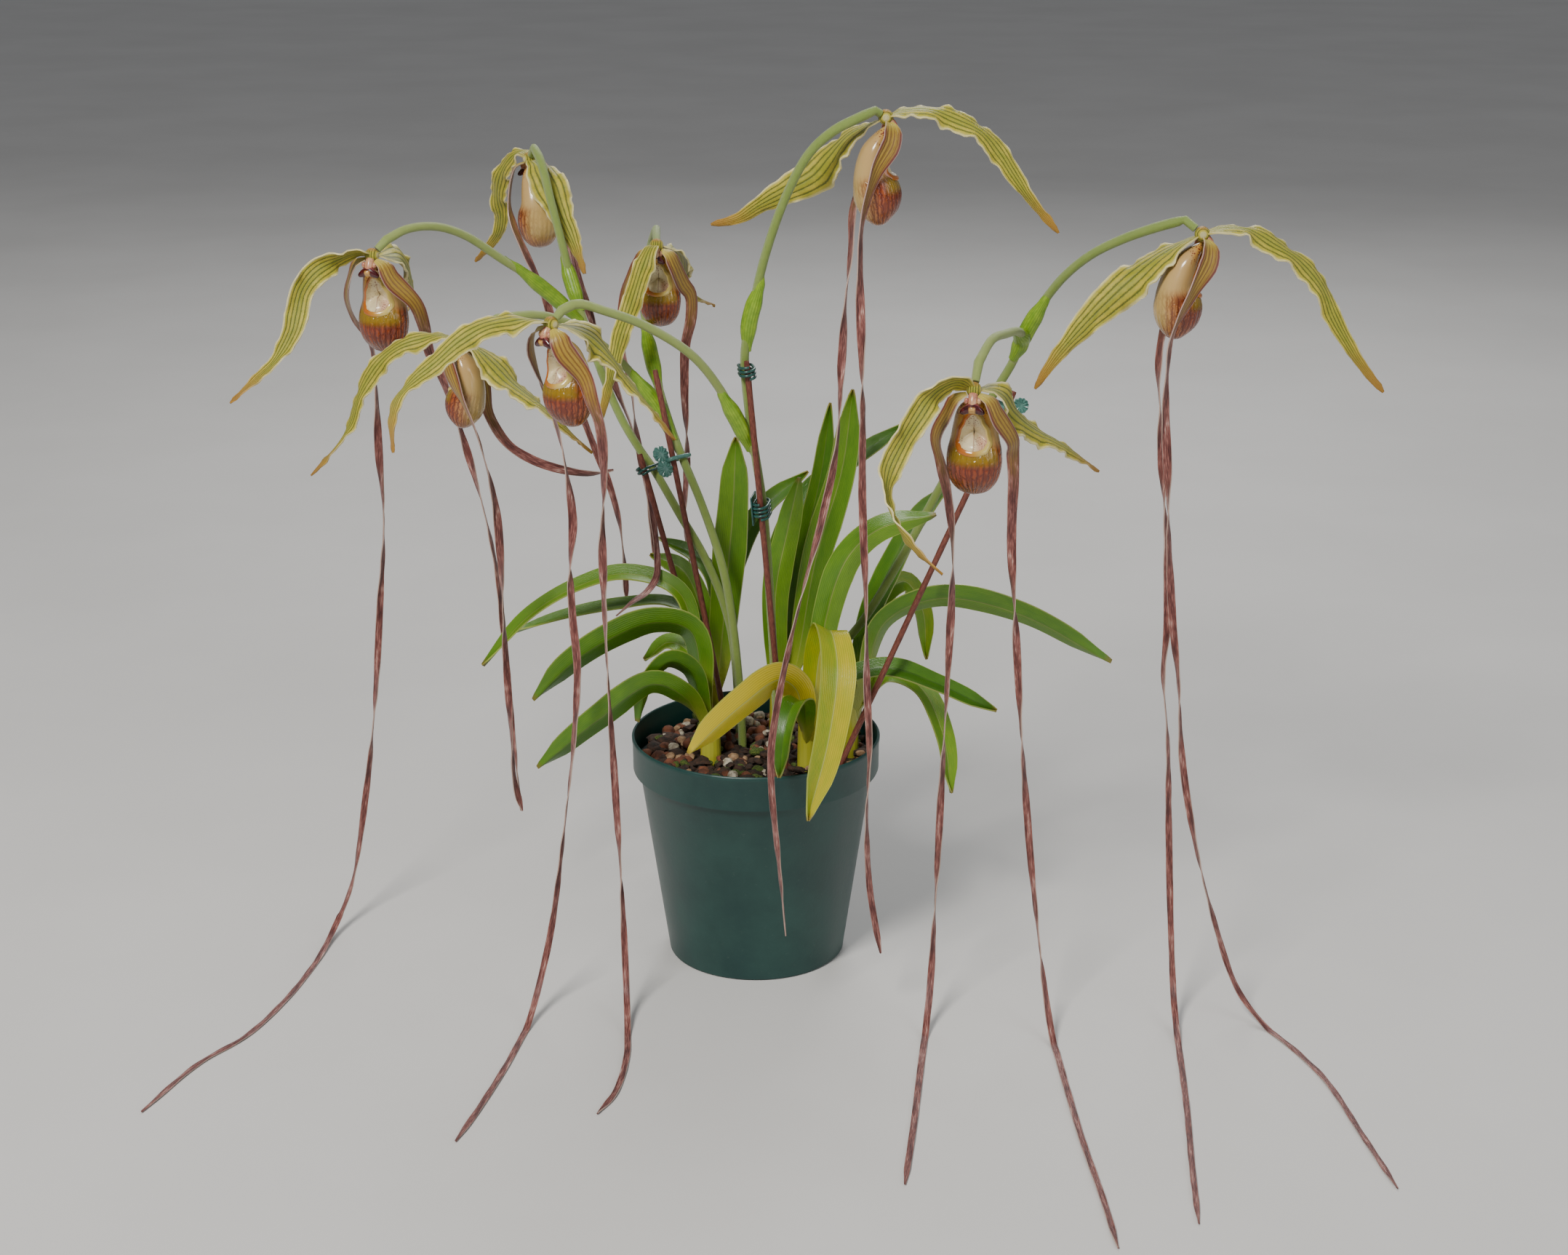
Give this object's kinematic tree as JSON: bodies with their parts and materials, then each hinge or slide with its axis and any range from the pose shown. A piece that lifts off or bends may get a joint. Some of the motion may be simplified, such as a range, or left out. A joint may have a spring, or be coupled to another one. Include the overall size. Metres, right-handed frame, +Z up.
{
  "type": "slipper orchid in a pot",
  "caption": "Long-petalled slipper orchid in a round nursery pot: staked stems, yellow-green sepals, hanging pouches and ribbon petals that trail on the surface.",
  "frame": {"origin": "centre of the pot's flat underside, on the surface it stands on", "axes": "+Z up, the front of the plant faces -Y, +X to its right as seen from the front"},
  "size_m": [0.6799, 0.551, 0.5185],
  "materials": {
    "sepal_green": "satin, thin fleshy plant tissue",
    "pouch_red": "glossy, waxy plant tissue",
    "petal_pink": "satin, thin plant tissue",
    "stem_green": "finely hairy plant stem",
    "leaf_green": "glossy, leathery plant leaf",
    "stake_brown": "matte, thin split cane",
    "clip_green": "glossy moulded plastic",
    "pot_green": "satin moulded plastic",
    "mix_brown": "matte, rough bark, clay and pumice pellets"
  },
  "bodies": {
    "root": {"pot": "pot_green", "potting_mix": "mix_brown", "leaves_left_front": "leaf_green", "leaves_left_back": "leaf_green", "leaves_front": "leaf_green", "leaves_right": "leaf_green", "leaves_right_back": "leaf_green", "scape_centre": "stem_green", "scape_left": "stem_green", "scape_far_left": "stem_green", "scape_right": "stem_green", "stake_centre": "stake_brown", "stake_left": "stake_brown", "stake_far_left": "stake_brown", "stake_right": "stake_brown", "clip_centre_upper": "clip_green", "clip_centre_lower": "clip_green", "clip_far_left": "clip_green", "clip_left": "clip_green", "clip_right": "clip_green", "sepals_a": "sepal_green", "sepals_b": "sepal_green", "sepals_c": "sepal_green", "sepals_d": "sepal_green", "sepals_e": "sepal_green", "sepals_f": "sepal_green", "sepals_g": "sepal_green", "sepals_h": "sepal_green", "pouch_a": "pouch_red", "pouch_b": "pouch_red", "pouch_c": "pouch_red", "pouch_d": "pouch_red", "pouch_e": "pouch_red", "pouch_f": "pouch_red", "pouch_g": "pouch_red", "pouch_h": "pouch_red", "petal_a_left": "petal_pink", "petal_a_right": "petal_pink", "petal_b_left": "petal_pink", "petal_b_right": "petal_pink", "petal_c_left": "petal_pink", "petal_c_right": "petal_pink", "petal_d_left": "petal_pink", "petal_d_right": "petal_pink", "petal_e_left": "petal_pink", "petal_e_right": "petal_pink", "petal_f_left": "petal_pink", "petal_f_right": "petal_pink", "petal_g_left": "petal_pink", "petal_g_right": "petal_pink", "petal_h_left": "petal_pink", "petal_h_right": "petal_pink"}
  },
  "joints": []
}
